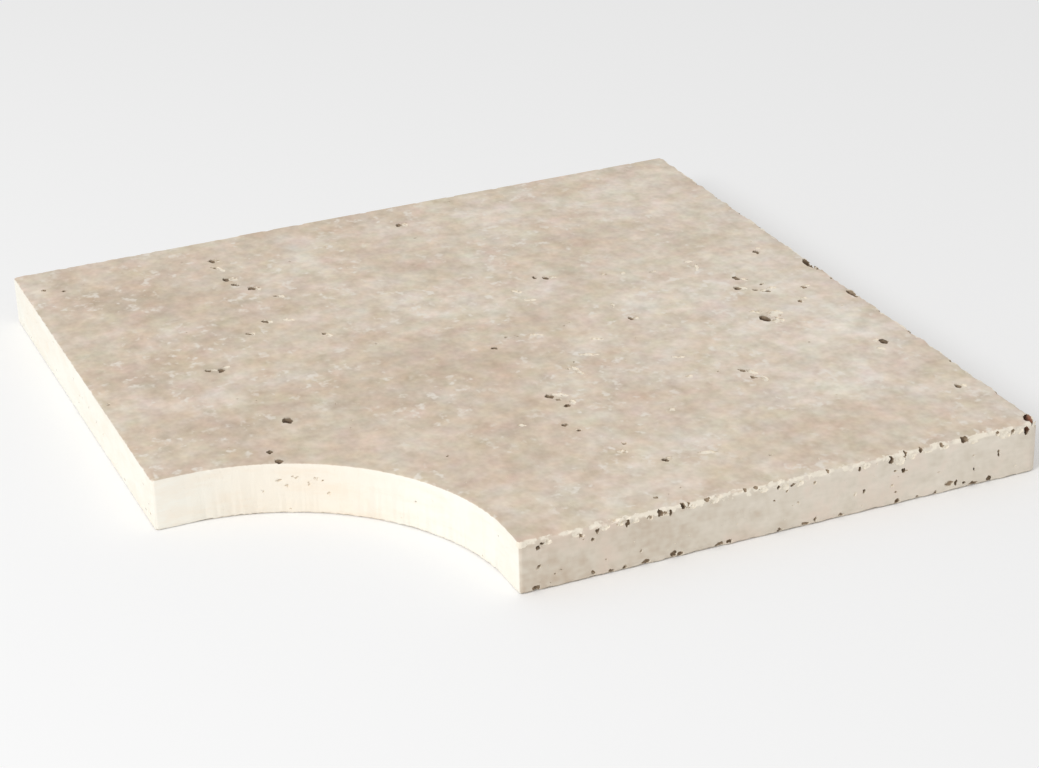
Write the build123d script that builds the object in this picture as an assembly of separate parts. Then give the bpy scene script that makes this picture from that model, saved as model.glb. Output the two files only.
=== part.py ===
"""Inside-corner pool coping stone, one piece of tumbled travertine.

A square slab lies on its bed face.  The corner towards the pool is cut away as a concave
quarter round with short straight ends, and each of the two joint faces beside it butts
against a straight coping of the same width.  The terrace faces are at +X and +Y.

X runs along the back edge, Y runs away from the pool, Z is up, and the origin is at the
middle of the footprint, on the bed.  Units are millimetres and degrees.
"""
from build123d import *
from math import pi, sin, sqrt
import os

# Slab
side_x = 450.0
side_y = 450.0
thickness = 30.0

# Pool corner: an arc, and a straight run at each end that leads into it
notch_radius = 131.0
notch_run = 15.0

# Vertical corners as sawn, and the one that tumbling has rounded
sawn_corner_radius = 2.0
tumbled_corner_radius = 6.0

# Arris of the sawn edges
sawn_ease = 0.6

# Worn arrises of the two tumbled faces: how far each eats in from the face and along it
upper_wear_in = 2.4
upper_wear_down = 2.2
lower_wear_in = 1.5
lower_wear_down = 1.4

# The shoulder between them lies this share of both sizes in from the sharp corner
shoulder_share = 0.34

# The wear swings about those sizes by this share, in waves of about this length
wear_swing = 0.4
wear_wave = 52.0
stations_per_wave = 4

# Voids of the stone, each a spindle.  Those of the top face: x, y, length, width, and the way
# each one runs from +X.  They follow the bedding, so they are placed from the slab's middle.
top_voids = [
    (158.5, -41, 6.8, 5.2, 10),
    (172, 18.5, 4.6, 2.8, 70),
    (176, -5, 6.4, 2.4, -40),
    (203, -100, 5.4, 3.8, -10),
    (-137, -43, 6.6, 4.6, 0),
    (-106, 192, 5.2, 2.6, -70),
    (-107, 160, 4.4, 3.0, -50),
    (-97, 140, 4.6, 3.0, 0),
    (-150, 35, 4.4, 3.0, 0),
    (3, -80, 4.6, 3.0, 30),
    (114.5, -108, 6.0, 2.6, -62),
    (20, 194, 4.6, 2.8, 0),
]

# Voids that open on the front face: x, height, length, width
front_voids = [
    (-68, 13.8, 3.6, 2.8),
    (141, 19.0, 4.2, 3.4),
    (169.5, 5.0, 7.0, 4.2),
    (200, 16.3, 4.2, 2.6),
]

# Voids that break the upper arris of the front and of the right face: place, length, width
front_arris_voids = [(-19, 5.4, 4.6), (0, 5.6, 5.0), (12.5, 5.4, 4.8), (133.5, 6.4, 5.4), (178, 5.6, 4.8)]
right_arris_voids = [(-34, 8.0, 4.4), (19, 10.5, 5.4)]

# The deep void that has broken the top of the tumbled corner
corner_void_length = 11.0
corner_void_width = 8.0

# A void's middle lies under its face by this share of the void's radius
void_sink = 0.3

# Cutting tools reach this far past the stone, and their curves this far past its faces
past = 6.0
clear = 0.8


def slab():
    """The sawn slab: a square without its pool corner, every long arris eased."""
    left, right = -side_x / 2, side_x / 2
    front, back = -side_y / 2, side_y / 2
    arc_x, arc_y = left + notch_run, front + notch_run
    notch_x, notch_y = arc_x + notch_radius, arc_y + notch_radius
    slant = notch_radius / sqrt(2)
    outline = Polyline((notch_x, arc_y), (notch_x, front), (right, front), (right, back), (left, back),
                       (left, notch_y), (arc_x, notch_y))
    pool_arc = ThreePointArc((arc_x, notch_y), (arc_x + slant, arc_y + slant), (notch_x, arc_y))
    plan = make_face(outline.edges() + pool_arc.edges())

    def corners(*places):
        return [v for v in plan.vertices() if any((v.X, v.Y) == place for place in places)]

    sawn = corners((notch_x, front), (right, back), (left, back), (left, notch_y))
    plan = fillet(sawn, sawn_corner_radius)
    plan = fillet(corners((right, front)), tumbled_corner_radius)
    block = extrude(plan, amount=thickness)
    rims = block.faces().sort_by(Axis.Z)[0].edges() + block.faces().sort_by(Axis.Z)[-1].edges()
    return fillet(rims, sawn_ease)


def wander(distance, phase):
    """How much the wear swings at this distance along an arris, from -1 to 1."""
    turn = 2 * pi * distance / wear_wave
    return 0.62 * sin(turn + phase) + 0.38 * sin(2.3 * turn + 2 * phase)


def wear_section(arris, out, up, wear_in, wear_down):
    """What a worn arris loses, square to its run: all that lies beyond a low rounded shoulder."""
    foot = arris - up * (wear_down + clear) + out * clear
    shoulder = arris - (out * wear_in + up * wear_down) * shoulder_share
    lip = arris - out * (wear_in + clear) + up * clear
    rim = Polyline(lip, lip + up * past, arris + (out + up) * past, foot + out * past, foot)
    return make_face(rim.edges() + ThreePointArc(foot, shoulder, lip).edges())


def worn_arris(start, along, length, out, up, sizes, phase):
    """Cutter for one worn arris: sections that wander, lofted from the rounded corner outwards."""
    steps = max(2, round(length / wear_wave * stations_per_wave))
    sections = []
    for step in range(steps + 1):
        distance = length * step / steps
        swing = wear_swing * wander(distance, phase) if step else 0
        wear_in, wear_down = (size * (1 + swing) for size in sizes)
        sections.append(wear_section(start + along * distance, out, up, wear_in, wear_down))
    return loft(sections, ruled=True)


def worn_corner(up, height, sizes):
    """Cutter that carries the worn arris round the tumbled corner, at its mean size."""
    centre = Vector(side_x / 2 - tumbled_corner_radius, -side_y / 2 + tumbled_corner_radius, height)
    start = centre - Vector(0, tumbled_corner_radius, 0)
    section = wear_section(start, Vector(0, -1, 0), up, *sizes)
    return revolve(section, axis=Axis(centre, (0, 0, 1)), revolution_arc=90)


def wear():
    """Cutters for the arrises of the front and right faces, above and below."""
    tools = []
    front_start = Vector(side_x / 2 - tumbled_corner_radius, -side_y / 2, 0)
    right_start = Vector(side_x / 2, -side_y / 2 + tumbled_corner_radius, 0)
    front_length = side_x - notch_run - notch_radius - tumbled_corner_radius + past
    right_length = side_y - tumbled_corner_radius + past
    levels = [
        (Vector(0, 0, 1), thickness, (upper_wear_in, upper_wear_down), 0.4),
        (Vector(0, 0, -1), 0, (lower_wear_in, lower_wear_down), 2.1),
    ]
    for up, height, sizes, phase in levels:
        lift = Vector(0, 0, height)
        tools.append(worn_arris(front_start + lift, Vector(-1, 0, 0), front_length,
                                Vector(0, -1, 0), up, sizes, phase))
        tools.append(worn_arris(right_start + lift, Vector(0, 1, 0), right_length,
                                Vector(1, 0, 0), up, sizes, phase + 1.3))
        tools.append(worn_corner(up, height, sizes))
    return tools


def void(mouth, outward, along, length, width):
    """A ball drawn out along its run, its middle a little way in from the mouth."""
    middle = mouth - outward.normalized() * (void_sink * width / 2)
    return Plane(middle, x_dir=along, z_dir=outward) * scale(Sphere(width / 2), by=(length / width, 1, 1))


def voids():
    """Every void that is deep enough to change the stone's form."""
    front, right = -side_y / 2, side_x / 2
    east, south, up = Vector(1, 0, 0), Vector(0, -1, 0), Vector(0, 0, 1)
    tools = []
    for x, y, length, width, heading in top_voids:
        tools.append(void(Vector(x, y, thickness), up, east.rotate(Axis.Z, heading), length, width))
    for x, height, length, width in front_voids:
        tools.append(void(Vector(x, front, height), south, east, length, width))
    shoulder_in, shoulder_down = upper_wear_in / 2, upper_wear_down / 2
    for x, length, width in front_arris_voids:
        mouth = Vector(x, front + shoulder_in, thickness - shoulder_down)
        tools.append(void(mouth, south + up, east, length, width))
    for y, length, width in right_arris_voids:
        mouth = Vector(right - shoulder_in, y, thickness - shoulder_down)
        tools.append(void(mouth, east + up, south, length, width))
    corner_in = tumbled_corner_radius * (1 - 1 / sqrt(2)) + shoulder_in
    mouth = Vector(right - corner_in, front + corner_in, thickness - shoulder_down)
    tools.append(void(mouth, east + south + up, east - south, corner_void_length, corner_void_width))
    return tools


coping_stone = slab() - voids() - wear()

os.makedirs("parts", exist_ok=True)
export_step(coping_stone, "parts/coping_stone.step")
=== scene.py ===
"""Inside-corner pool coping stone in tumbled travertine: its surface, its finish and a plain studio.

The stone is one piece.  It is modelled from a slab whose pool corner is cut away.  Its two tumbled
faces have worn and chipped arrises, its voids are cut out one by one, and one travertine finish
dresses it.  Lengths in the classes are millimetres in the stone's own frame; meshes are in metres.
"""
import logging
import math
import random
from dataclasses import dataclass
from enum import Enum
from typing import Any, Callable, Dict, Iterable, List, Optional, Sequence, Tuple, Union

import bpy
import numpy as np
from mathutils import Matrix, Vector
from mathutils.bvhtree import BVHTree


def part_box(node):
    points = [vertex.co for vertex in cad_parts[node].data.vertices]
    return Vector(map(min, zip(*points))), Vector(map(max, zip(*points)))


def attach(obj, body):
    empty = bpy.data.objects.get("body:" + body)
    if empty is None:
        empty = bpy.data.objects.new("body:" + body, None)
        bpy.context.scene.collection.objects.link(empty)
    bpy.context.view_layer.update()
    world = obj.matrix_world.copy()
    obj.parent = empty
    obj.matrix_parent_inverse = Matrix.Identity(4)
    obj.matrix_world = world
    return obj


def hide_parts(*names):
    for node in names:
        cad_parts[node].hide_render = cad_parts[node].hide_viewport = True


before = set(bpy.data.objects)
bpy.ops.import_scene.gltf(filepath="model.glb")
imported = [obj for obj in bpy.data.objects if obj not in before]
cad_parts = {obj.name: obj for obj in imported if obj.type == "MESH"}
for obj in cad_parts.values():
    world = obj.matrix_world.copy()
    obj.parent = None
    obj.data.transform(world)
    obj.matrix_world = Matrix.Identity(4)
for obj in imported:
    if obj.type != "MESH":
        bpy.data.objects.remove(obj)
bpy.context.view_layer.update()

NODE = "coping_stone"
BODY = "root"
MM = 0.001
PHOTO_WIDTH = 1039.0
BALL_RADIUS = 0.5
GAMMA_FOOT, GAMMA_SLOPE, GAMMA_LIFT, GAMMA = 0.04045, 12.92, 0.055, 2.4

Piece = bpy.types.Object
Colour = Tuple[float, float, float]
Triple = Tuple[float, float, float]
Span = Tuple[float, float]
Rows = Tuple[Tuple[float, ...], ...]
log = logging.getLogger("coping_stone")


def linear(red: int, green: int, blue: int) -> Colour:
    """Turn a colour as a screen shows it into the linear values that a shader takes.

    Args:
        red: red from 0 to 255.
        green: green from 0 to 255.
        blue: blue from 0 to 255.

    Returns:
        The three linear values.
    """
    def channel(value: int) -> float:
        """Return one channel in linear light."""
        share = value / 255
        if share <= GAMMA_FOOT:
            return share / GAMMA_SLOPE
        return ((share + GAMMA_LIFT) / (1 + GAMMA_LIFT)) ** GAMMA
    return channel(red), channel(green), channel(blue)


def ramp(values: np.ndarray, low: float, high: float) -> np.ndarray:
    """Rise smoothly from 0 at low to 1 at high."""
    share = np.clip((values - low) / (high - low), 0, 1)
    return share * share * (3 - 2 * share)


class Bench:
    """The modelling bench: Blender's operators, used on one piece at a time."""

    @staticmethod
    def clear() -> None:
        """Leave edit mode and deselect everything."""
        if bpy.context.object and bpy.context.object.mode != "OBJECT":
            bpy.ops.object.mode_set(mode="OBJECT")
        bpy.ops.object.select_all(action="DESELECT")

    @classmethod
    def take(cls, piece: Piece) -> None:
        """Select one piece alone and make it active."""
        cls.clear()
        piece.select_set(True)
        bpy.context.view_layer.objects.active = piece

    @classmethod
    def settle(cls, piece: Piece) -> Piece:
        """Move a piece's place, turn and scale into its mesh."""
        cls.take(piece)
        bpy.ops.object.transform_apply(location=True, rotation=True, scale=True)
        return piece

    @classmethod
    def block(cls, low: Sequence[float], high: Sequence[float]) -> Piece:
        """Add a block between two corners.

        Args:
            low: lowest corner in mm.
            high: highest corner in mm.

        Returns:
            The block, settled.
        """
        middle = [(a + b) / 2 * MM for a, b in zip(low, high)]
        span = [(b - a) * MM for a, b in zip(low, high)]
        cls.clear()
        bpy.ops.mesh.primitive_cube_add(size=1, location=middle, scale=span)
        return cls.settle(bpy.context.object)

    @classmethod
    def finish(cls, piece: Piece, kind: str, **settings: Any) -> None:
        """Give a piece one modifier and apply it.

        Args:
            piece: the piece.
            kind: the modifier's type.
            **settings: the modifier's settings.
        """
        cls.take(piece)
        step = piece.modifiers.new("step", kind)
        for name, value in settings.items():
            setattr(step, name, value)
        bpy.ops.object.modifier_apply(modifier=step.name)

    @classmethod
    def cut(cls, piece: Piece, tool: Piece) -> None:
        """Cut a tool out of a piece and put the tool away."""
        cls.finish(piece, "BOOLEAN", operation="DIFFERENCE", solver="MANIFOLD", object=tool)
        bpy.data.objects.remove(tool)

    @classmethod
    def hold_in(cls, piece: Piece, case: Piece) -> None:
        """Press back whatever of a piece stands out of a case, and put the case away."""
        cls.finish(piece, "SHRINKWRAP", target=case, wrap_method="NEAREST_SURFACEPOINT", wrap_mode="INSIDE")
        bpy.data.objects.remove(case)

    @classmethod
    def balls(cls, stances: Iterable[Matrix], rough: float, grain: float, fineness: int = 3) -> Piece:
        """Make one cutter of many rough balls.

        Args:
            stances: the place, turn and size of each ball.
            rough: how far their walls wander, in mm.
            grain: how long the wander's waves are, in mm.
            fineness: how finely each ball is divided.

        Returns:
            The cutter.
        """
        cls.clear()
        bpy.ops.mesh.primitive_ico_sphere_add(subdivisions=fineness, radius=BALL_RADIUS)
        tool = bpy.context.object
        first, *others = stances
        for stance in others:
            ball = tool.copy()
            bpy.context.collection.objects.link(ball)
            ball.matrix_world = stance
            ball.select_set(True)
        tool.matrix_world = first
        bpy.ops.object.join()
        cls.settle(tool)
        relief = cls.relief("walls", "CLOUDS", noise_scale=grain * MM, noise_depth=2)
        cls.finish(tool, "DISPLACE", texture=relief, texture_coords="LOCAL", strength=rough * MM,
                   mid_level=0.5)
        return tool

    @classmethod
    def weight(cls, piece: Piece, name: str, values: np.ndarray) -> None:
        """Store one weight for each vertex as a vertex group.

        Args:
            piece: the piece.
            name: the group's name.
            values: the weights, from 0 to 1.
        """
        cls.measure(piece, name, values)
        cls.take(piece)
        attributes = piece.data.attributes
        attributes.active_index = list(attributes).index(attributes[name])
        bpy.ops.geometry.attribute_convert(mode="VERTEX_GROUP")

    @staticmethod
    def measure(piece: Piece, name: str, values: np.ndarray) -> None:
        """Store one number for each vertex as an attribute that a shader can read."""
        attribute = piece.data.attributes.new(name, "FLOAT", "POINT")
        attribute.data.foreach_set("value", np.ascontiguousarray(values, dtype=np.float32))

    @staticmethod
    def places(piece: Piece) -> np.ndarray:
        """Return the vertices of a piece, in mm."""
        flat = np.empty(len(piece.data.vertices) * 3, dtype=np.float32)
        piece.data.vertices.foreach_get("co", flat)
        return flat.reshape(-1, 3) / MM

    @staticmethod
    def relief(name: str, kind: str, **settings: Any) -> bpy.types.Texture:
        """Return a procedural relief for a Displace modifier."""
        relief = bpy.data.textures.new(name, kind)
        for key, value in settings.items():
            setattr(relief, key, value)
        return relief


class Face(Enum):
    """A face of the slab, with the way from it into the stone."""

    TOP = (0, 0, -1)
    BED = (0, 0, 1)
    FRONT = (0, 1, 0)
    RIGHT = (-1, 0, 0)
    BACK = (0, -1, 0)
    LEFT = (1, 0, 0)
    POOL = (0.7, 0.7, 0)


Depth = Union[np.ndarray, "Field"]
Drops = Dict[Face, Depth]


@dataclass(frozen=True)
class Plan:
    """The stone's true outline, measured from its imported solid, in mm."""

    low: Vector
    high: Vector
    notch_radius: float = 131.0
    notch_run: float = 15.0

    @classmethod
    def of_frame(cls) -> "Plan":
        """Read the outline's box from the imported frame."""
        low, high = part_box(NODE)
        return cls(Vector(low) / MM, Vector(high) / MM)

    @property
    def thickness(self) -> float:
        """Height of the slab."""
        return self.high.z - self.low.z

    @property
    def pool(self) -> Tuple[float, float]:
        """Centre of the pool corner's arc."""
        return self.low.x + self.notch_run, self.low.y + self.notch_run

    @property
    def reach(self) -> float:
        """How far the cut runs along each side of the slab."""
        return self.notch_radius + self.notch_run

    def drops(self, x: Depth, y: Depth, z: Depth, across: Callable[[Depth, Depth], Depth]) -> Drops:
        """Say how far inside each face of the sawn slab some spots lie, in mm.

        Args:
            x: their x, an array or a shader value, as y and z are.
            y: their y.
            z: their height.
            across: turns x and y, from the pool arc's middle, into the distance from it past both.

        Returns:
            The depths by face.
        """
        pool_x, pool_y = self.pool
        return {
            Face.LEFT: x - self.low.x, Face.RIGHT: self.high.x - x,
            Face.FRONT: y - self.low.y, Face.BACK: self.high.y - y,
            Face.BED: z - self.low.z, Face.TOP: self.high.z - z,
            Face.POOL: across(x - pool_x, y - pool_y) - self.notch_radius,
        }

    def drops_at(self, spots: np.ndarray) -> Drops:
        """Say how far inside each face some spots lie, given as rows of x, y and z."""
        return self.drops(*spots.T, lambda x, y: np.hypot(np.maximum(x, 0), np.maximum(y, 0)))

    def mouth(self, face: Face, along: float, across: float) -> Vector:
        """Find a place on a face.

        Args:
            face: the face.
            along: x on the level faces, the front and the back, y on the left and right faces, and
                the turn in degrees on the pool face.
            across: y on the level faces, and the height on the others.

        Returns:
            The place in mm.
        """
        low, high = self.low, self.high
        turn = math.radians(along)
        round_pool = (self.pool[0] + self.notch_radius * math.cos(turn),
                      self.pool[1] + self.notch_radius * math.sin(turn), across)
        return Vector({
            Face.TOP: (along, across, high.z), Face.BED: (along, across, low.z),
            Face.FRONT: (along, low.y, across), Face.BACK: (along, high.y, across),
            Face.LEFT: (low.x, along, across), Face.RIGHT: (high.x, along, across), Face.POOL: round_pool,
        }[face])

    def inward(self, faces: Sequence[Face], place: Vector) -> Vector:
        """Return the way into the stone from where some faces meet."""
        way = Vector((0, 0, 0))
        for face in faces:
            if face is Face.POOL:
                way += Vector((place.x - self.pool[0], place.y - self.pool[1], 0)).normalized()
            else:
                way += Vector(face.value)
        return way.normalized()


@dataclass(frozen=True)
class Void:
    """One hole of the stone: its mouth, the faces that it opens on, its size in mm and its run in degrees.

    A share of its depth lies between its mouth and its widest part, its rough wall may lie a little
    outside its ball, and its gloom says how dark its painted shade gets.
    """

    place: Vector
    faces: Tuple[Face, ...]
    length: float
    width: float
    depth: float
    heading: float = 0.0
    share_below: float = 0.25
    gloom: float = 1.0
    wall: float = 0.8

    def stance(self, plan: Plan) -> Matrix:
        """Place and size the hole so that it is widest just under the faces that it opens on."""
        into = plan.inward(self.faces, self.place)
        level = Vector((-into.y, into.x, 0))
        along = level.normalized() if level.length > 0.01 else Vector((1, 0, 0))
        along = Matrix.Rotation(math.radians(self.heading), 3, -into) @ along
        turn = Matrix((along, into.cross(along), into)).transposed()
        reach = 2 * self.depth * (1 - self.share_below)
        size = Matrix.Diagonal((self.length * MM, self.width * MM, reach * MM))
        middle = self.place * MM + into * (self.depth * self.share_below * MM)
        return Matrix.Translation(middle) @ (turn @ size).to_4x4()

    def holds(self, plan: Plan, spots: np.ndarray) -> np.ndarray:
        """Return the indices of the spots that lie in the hole or on its rough wall."""
        inwards = np.array(self.stance(plan).inverted())
        near = np.flatnonzero(np.abs(spots - np.array(self.place)).max(axis=1) < self.length + self.depth)
        own = spots[near] * MM @ inwards[:3, :3].T + inwards[:3, 3]
        return near[np.linalg.norm(own, axis=1) < BALL_RADIUS + self.wall / self.width]


@dataclass(frozen=True)
class Wear:
    """One layer of unevenness: where it works, its wave in mm, its octaves and its depth in mm.

    A middle of 1 only takes stone away, and a lower one leaves crests too.
    """

    group: str
    wave: float
    layers: int
    depth: float
    middle: float = 1.0


@dataclass
class CopingStone:
    """The stone itself, one closed mesh that stands for the CAD solid.

    Sizes are in mm.  The hair keeps the surface just inside the slab's box, and a vertex that lies deeper
    than the skin under the unbroken surface belongs to a void.  A span says how far in from a face a
    wear starts to fade or to grow, and where it is done.
    """

    plan: Plan
    corner_radius: float = 6.0
    corner_steps: int = 8
    sawn_corner: float = 1.6
    upper_wear: float = 1.2
    lower_wear: float = 0.5
    arris_steps: int = 3
    arris_profile: float = 0.4
    arc_steps: int = 256
    tool_past: float = 20.0
    near: float = 0.01
    grid: float = 1.0
    most_triangles: int = 190000
    smooth_below: float = 40.0
    hair: float = 0.015
    skin: float = 0.04
    hollow_share: float = 0.5
    lower_share: float = 0.6
    past_notch: Span = (-1.0, 3.0)
    past_right: Span = (-6.0, -4.0)
    upper_in: Span = (1.2, 3.2)
    upper_down: Span = (1.2, 3.4)
    lower_in: Span = (1.0, 2.4)
    face_in: Span = (0.3, 2.0)
    face_down: Span = (0.5, 4.0)
    face_up: Span = (0.0, 2.0)
    sawn_in: Span = (0.2, 2.0)
    sawn_rim: Span = (0.2, 1.6)
    bed_up: Span = (0.1, 0.6)
    wears: Tuple[Wear, ...] = (
        Wear("worn", 22.0, 1, 1.3, 0.64), Wear("worn", 7.0, 2, 1.8, 0.62), Wear("worn", 2.4, 2, 0.7, 0.62),
        Wear("rough", 12.0, 3, 0.22), Wear("rough", 2.0, 1, 0.14), Wear("arris", 5.0, 2, 0.85),
        Wear("bed", 12.0, 3, 0.25),
    )

    def build(self) -> Piece:
        """Model the stone from slab to finished surface.

        Returns:
            The finished object, at the origin.
        """
        stone = self.slab()
        self.round_corners(stone)
        self.wear_arrises(stone)
        Bench.finish(stone, "REMESH", mode="VOXEL", voxel_size=self.grid * MM)
        self.tumble(stone)
        Chips(self.plan).cut(stone)
        whole = BVHTree.FromObject(stone, bpy.context.evaluated_depsgraph_get())
        voids = Voids(self.plan).cut(stone)
        self.thin(stone)
        self.record_depth(stone, whole, voids)
        stone.name = "coping_stone_surface"
        Bench.take(stone)
        bpy.ops.object.shade_smooth_by_angle(angle=math.radians(self.smooth_below))
        return stone

    def slab(self) -> Piece:
        """Cut the pool corner out of a square slab."""
        plan = self.plan
        slab = Bench.block(plan.low, plan.high)
        past = self.tool_past
        pool_x, pool_y = plan.pool
        Bench.clear()
        bpy.ops.mesh.primitive_cylinder_add(
            vertices=self.arc_steps, radius=plan.notch_radius * MM, depth=(plan.thickness + 2 * past) * MM,
            location=(pool_x * MM, pool_y * MM, plan.thickness / 2 * MM))
        Bench.cut(slab, Bench.settle(bpy.context.object))
        for run_x, run_y in ((pool_x, plan.low.y + plan.reach), (plan.low.x + plan.reach, pool_y)):
            Bench.cut(slab, Bench.block((plan.low.x - past, plan.low.y - past, -past),
                                        (run_x, run_y, plan.thickness + past)))
        return slab

    def bevel(self, stone: Piece, chosen: Iterable[bool], size: float, steps: int,
              profile: float = 0.5) -> None:
        """Bevel the chosen edges.

        Args:
            stone: the stone.
            chosen: for each edge, whether it is bevelled.
            size: the bevel's size in mm.
            steps: how many faces it has.
            profile: its roundness, 0.5 for round.
        """
        Bench.take(stone)
        bpy.ops.object.mode_set(mode="EDIT")
        bpy.ops.mesh.select_mode(type="EDGE")
        bpy.ops.mesh.select_all(action="DESELECT")
        bpy.ops.object.mode_set(mode="OBJECT")
        for edge, take in zip(stone.data.edges, list(chosen)):
            edge.select = take
        bpy.ops.object.mode_set(mode="EDIT")
        bpy.ops.mesh.bevel(offset=size * MM, segments=steps, profile=profile, affect="EDGES")
        bpy.ops.object.mode_set(mode="OBJECT")

    def edge_ends(self, stone: Piece) -> List[Tuple[Vector, Vector]]:
        """Return both ends of every edge, in mm."""
        spots = [vertex.co / MM for vertex in stone.data.vertices]
        return [(spots[a], spots[b]) for a, b in (edge.vertices for edge in stone.data.edges)]

    def round_corners(self, stone: Piece) -> None:
        """Round the tumbled corner well and the sawn corners slightly."""
        plan = self.plan

        def upright_at(x: float, y: float) -> List[bool]:
            """Mark the upright edge at one corner of the outline."""
            return [all(abs(end.x - x) < self.near and abs(end.y - y) < self.near for end in ends)
                    for ends in self.edge_ends(stone)]

        self.bevel(stone, upright_at(plan.high.x, plan.low.y), self.corner_radius, self.corner_steps)
        corners = ((plan.low.x + plan.reach, plan.low.y), (plan.low.x, plan.low.y + plan.reach),
                   (plan.low.x, plan.high.y), (plan.high.x, plan.high.y))
        for x, y in corners:
            self.bevel(stone, upright_at(x, y), self.sawn_corner, self.arris_steps)

    def wear_arrises(self, stone: Piece) -> None:
        """Take the arrises off the front and right faces, above and below."""
        plan = self.plan
        near = self.near
        corner_x, corner_y = plan.high.x - self.corner_radius, plan.low.y + self.corner_radius

        def tumbled(a: Vector, b: Vector) -> bool:
            """Say whether an edge runs along the tumbled faces."""
            on_front = max(a.y, b.y) < plan.low.y + near and min(a.x, b.x) > plan.low.x + plan.reach - near
            on_right = min(a.x, b.x) > plan.high.x - near
            on_corner = min(a.x, b.x) > corner_x - near and max(a.y, b.y) < corner_y + near
            return on_front or on_right or on_corner

        for height, size in ((plan.high.z, self.upper_wear), (plan.low.z, self.lower_wear)):
            chosen = [abs(a.z - height) < near and abs(b.z - height) < near and tumbled(a, b)
                      for a, b in self.edge_ends(stone)]
            self.bevel(stone, chosen, size, self.arris_steps, self.arris_profile)

    def tumble(self, stone: Piece) -> None:
        """Roughen the tumbled faces and wear their arrises unevenly, within the slab's own box."""
        for group, strengths in self.worn_places(Bench.places(stone)).items():
            Bench.weight(stone, group, strengths)
        for wear in self.wears:
            relief = Bench.relief(wear.group, "CLOUDS", noise_scale=wear.wave * MM, noise_depth=wear.layers)
            Bench.finish(stone, "DISPLACE", texture=relief, texture_coords="LOCAL",
                         vertex_group=wear.group, strength=wear.depth * MM, mid_level=wear.middle)
        inset = Vector((self.hair, self.hair, self.hair))
        Bench.hold_in(stone, Bench.block(self.plan.low + inset, self.plan.high - inset))

    def worn_places(self, spots: np.ndarray) -> Dict[str, np.ndarray]:
        """Say how strongly each kind of wear works on some spots.

        Args:
            spots: rows of x, y and z in mm.

        Returns:
            Strengths from 0 to 1, by the name of the wear's group.
        """
        plan = self.plan
        drops = plan.drops_at(spots)
        top, bed = drops[Face.TOP], drops[Face.BED]
        side = np.minimum(drops[Face.FRONT], drops[Face.RIGHT])
        start, done = (plan.low.x + plan.reach + way for way in self.past_notch)
        tumbled = np.maximum(ramp(spots[:, 0], start, done), ramp(-drops[Face.RIGHT], *self.past_right))
        upper = (1 - ramp(side, *self.upper_in)) * (1 - ramp(top, *self.upper_down))
        lower = (1 - ramp(side, *self.lower_in)) * (1 - ramp(bed, *self.lower_in))
        faces = (1 - ramp(side, *self.face_in)) * ramp(top, *self.face_down) * ramp(bed, *self.face_up)
        sawn = np.minimum(np.minimum(drops[Face.LEFT], drops[Face.BACK]), drops[Face.POOL])
        sawn_arris = (1 - ramp(sawn, *self.sawn_in)) * (1 - ramp(np.minimum(top, bed), *self.sawn_rim))
        return {"worn": np.maximum(upper, lower * self.lower_share) * tumbled, "rough": faces * tumbled,
                "arris": sawn_arris * (1 - tumbled), "bed": 1 - ramp(bed, *self.bed_up)}

    def thin(self, stone: Piece) -> None:
        """Merge the flat stretches until the mesh is light enough."""
        stone.data.calc_loop_triangles()
        count = len(stone.data.loop_triangles)
        if count > self.most_triangles:
            Bench.finish(stone, "DECIMATE", ratio=self.most_triangles / count)

    def record_depth(self, stone: Piece, whole: BVHTree, voids: Iterable[Void]) -> None:
        """Store how far in from its void's mouth each vertex lies, in mm, for the finish.

        Args:
            stone: the stone with its voids cut.
            whole: the surface that it had before them.
            voids: the voids.
        """
        spots = Bench.places(stone)
        under = np.array([whole.find_nearest(vertex.co)[3] for vertex in stone.data.vertices]) / MM
        depth = under * self.hollow_share
        for void in voids:
            inside = void.holds(self.plan, spots)
            into = np.array(self.plan.inward(void.faces, void.place))
            own = (spots[inside] - np.array(void.place)) @ into * void.gloom
            depth[inside] = np.maximum(depth[inside], own)
        Bench.measure(stone, "void_depth", np.where(under > self.skin, depth, 0))


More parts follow.
